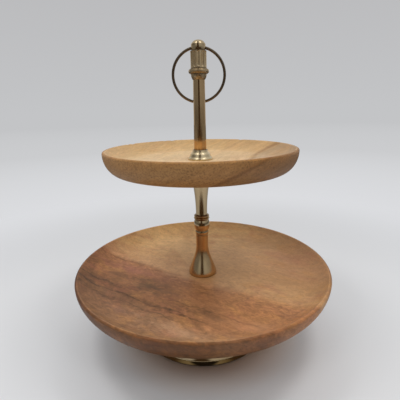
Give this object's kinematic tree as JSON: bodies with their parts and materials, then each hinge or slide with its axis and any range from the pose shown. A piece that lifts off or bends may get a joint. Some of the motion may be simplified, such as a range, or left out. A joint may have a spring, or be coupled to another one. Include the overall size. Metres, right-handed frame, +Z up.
{
  "type": "tiered cake stand",
  "caption": "Tiered cake stand: round dished wooden trays on a turned brass column with a pedestal foot, a fluted top and a swinging ring to carry it by.",
  "frame": {"origin": "on the table, under the middle of the column", "axes": "+Z up along the column; +X along the cross hole of the carry ring; the ring leans back towards +Y"},
  "size_m": [0.3, 0.3, 0.339],
  "materials": {
    "polished_brass": "polished",
    "ring_brass": "polished, drawn wire",
    "mango_wood": "turned and oiled",
    "zinc_steel": "zinc plated",
    "felt": "pressed felt"
  },
  "bodies": {
    "stand": {"foot_pad": "felt", "foot": "polished_brass", "lower_post": "polished_brass", "neck_ring": "polished_brass", "knop": "polished_brass", "collar_ring": "polished_brass", "upper_stem": "polished_brass", "handle_bell": "polished_brass", "handle_rod": "polished_brass", "capital_cup": "polished_brass", "capital_bead": "polished_brass", "capital": "polished_brass", "finial": "polished_brass", "lower_tray": "mango_wood", "upper_tray": "mango_wood", "tie_bolt": "zinc_steel", "flat_washer": "zinc_steel", "lock_washer": "zinc_steel", "column_stud": "zinc_steel", "handle_stud": "zinc_steel"},
    "ring": {"carry_ring": "ring_brass"}
  },
  "joints": [
    {"name": "ring_swing", "type": "hinge", "parent": "stand", "child": "ring", "pos_m": [0, 0, 0.3314], "axis": [1, 0, 0], "range_deg": [0, 342.5]}
  ]
}
